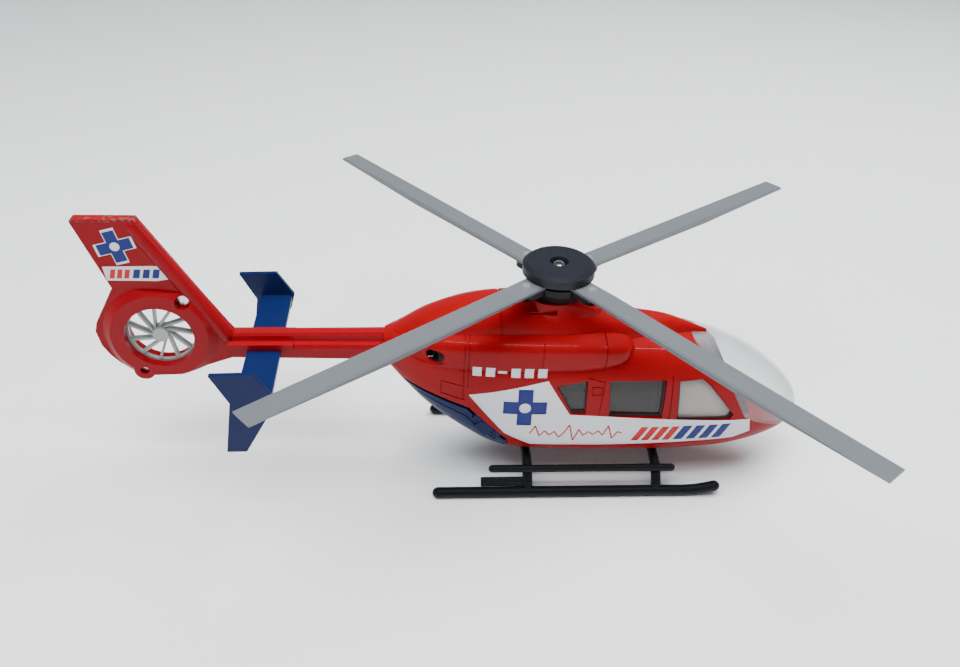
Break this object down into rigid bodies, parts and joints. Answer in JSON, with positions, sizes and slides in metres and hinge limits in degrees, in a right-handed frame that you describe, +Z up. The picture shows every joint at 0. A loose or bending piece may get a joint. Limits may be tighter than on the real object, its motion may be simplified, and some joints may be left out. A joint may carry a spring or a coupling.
{
  "type": "scale model helicopter",
  "caption": "Light rescue helicopter scale model with a turning main rotor, a shrouded tail fan, skid landing gear and opening clamshell rear doors.",
  "frame": {"origin": "on the standing surface, under the middle of the whole model with its rotor as displayed; the rotor mast stands 23.3 mm ahead of it", "axes": "+X to the nose, +Y to the model's left, +Z up along the rotor mast"},
  "size_m": [0.2154, 0.1652, 0.0826],
  "materials": {
    "red_paint": "glossy red enamel on zinc die-casting",
    "red_plastic": "glossy red moulded plastic",
    "clear_plastic": "clear moulded styrene, slightly hazy",
    "smoked_plastic": "tinted moulded styrene",
    "cabin_grey": "fine matt moulded plastic",
    "black_plastic": "satin black moulded plastic",
    "cap_plastic": "fine textured blue-black plastic",
    "dark_metal": "dark unpainted recess",
    "steel": "plain steel rivet and pin",
    "blade_plastic": "silver-grey moulded plastic with fine metallic flake",
    "fan_plastic": "grey moulded plastic",
    "blue_plastic": "satin-gloss blue moulded plastic",
    "sticker": "printed vinyl sticker"
  },
  "bodies": {
    "airframe": {"fuselage_shell": "red_paint", "engine_cowling": "red_paint", "belly_tray": "red_plastic", "belly_screws": "steel", "canopy": "clear_plastic", "window_band_left": "smoked_plastic", "window_band_right": "smoked_plastic", "cabin_floor": "cabin_grey", "pilot_seat_left": "cabin_grey", "pilot_seat_right": "cabin_grey", "instrument_console": "cabin_grey", "cabin_bulkhead": "cabin_grey", "rear_bench": "cabin_grey", "exhaust_left": "dark_metal", "exhaust_right": "dark_metal", "mast_fairing": "black_plastic", "mast_pin": "steel", "tail_half_left": "red_paint", "tail_half_right": "red_paint", "tail_rivets": "steel", "stabiliser": "blue_plastic", "skid_left": "black_plastic", "skid_right": "black_plastic", "cross_tube_front": "black_plastic", "cross_tube_rear": "black_plastic", "step_tube_left": "black_plastic", "step_tube_right": "black_plastic", "rear_step_left": "black_plastic", "rear_step_right": "black_plastic", "door_hinges_left": "steel", "door_hinges_right": "steel"},
    "main_rotor": {"hub_plate": "black_plastic", "hub_cap": "cap_plastic", "blade_pegs": "blade_plastic", "blade_1": "blade_plastic", "blade_2": "blade_plastic", "blade_3": "blade_plastic", "blade_4": "blade_plastic"},
    "tail_fan": {"tail_fan": "fan_plastic"},
    "rear_door_left": {"rear_door_left": "blue_plastic"},
    "rear_door_right": {"rear_door_right": "blue_plastic"}
  },
  "joints": [
    {"name": "rotor_spin", "type": "hinge", "parent": "airframe", "child": "main_rotor", "pos_m": [0.0233, 0, 0.0665], "axis": [0, 0, 1], "continuous": true},
    {"name": "fan_spin", "type": "hinge", "parent": "airframe", "child": "tail_fan", "pos_m": [-0.0891, 0, 0.0464], "axis": [0, 1, 0], "continuous": true},
    {"name": "left_door", "type": "hinge", "parent": "airframe", "child": "rear_door_left", "pos_m": [0.00423, 0.01375, 0.02242], "axis": [0.7155, 0.04, -0.6975], "range_deg": [0, 62]},
    {"name": "right_door", "type": "hinge", "parent": "airframe", "child": "rear_door_right", "pos_m": [0.00423, -0.01375, 0.02242], "axis": [-0.7155, 0.04, 0.6975], "range_deg": [0, 62]}
  ]
}
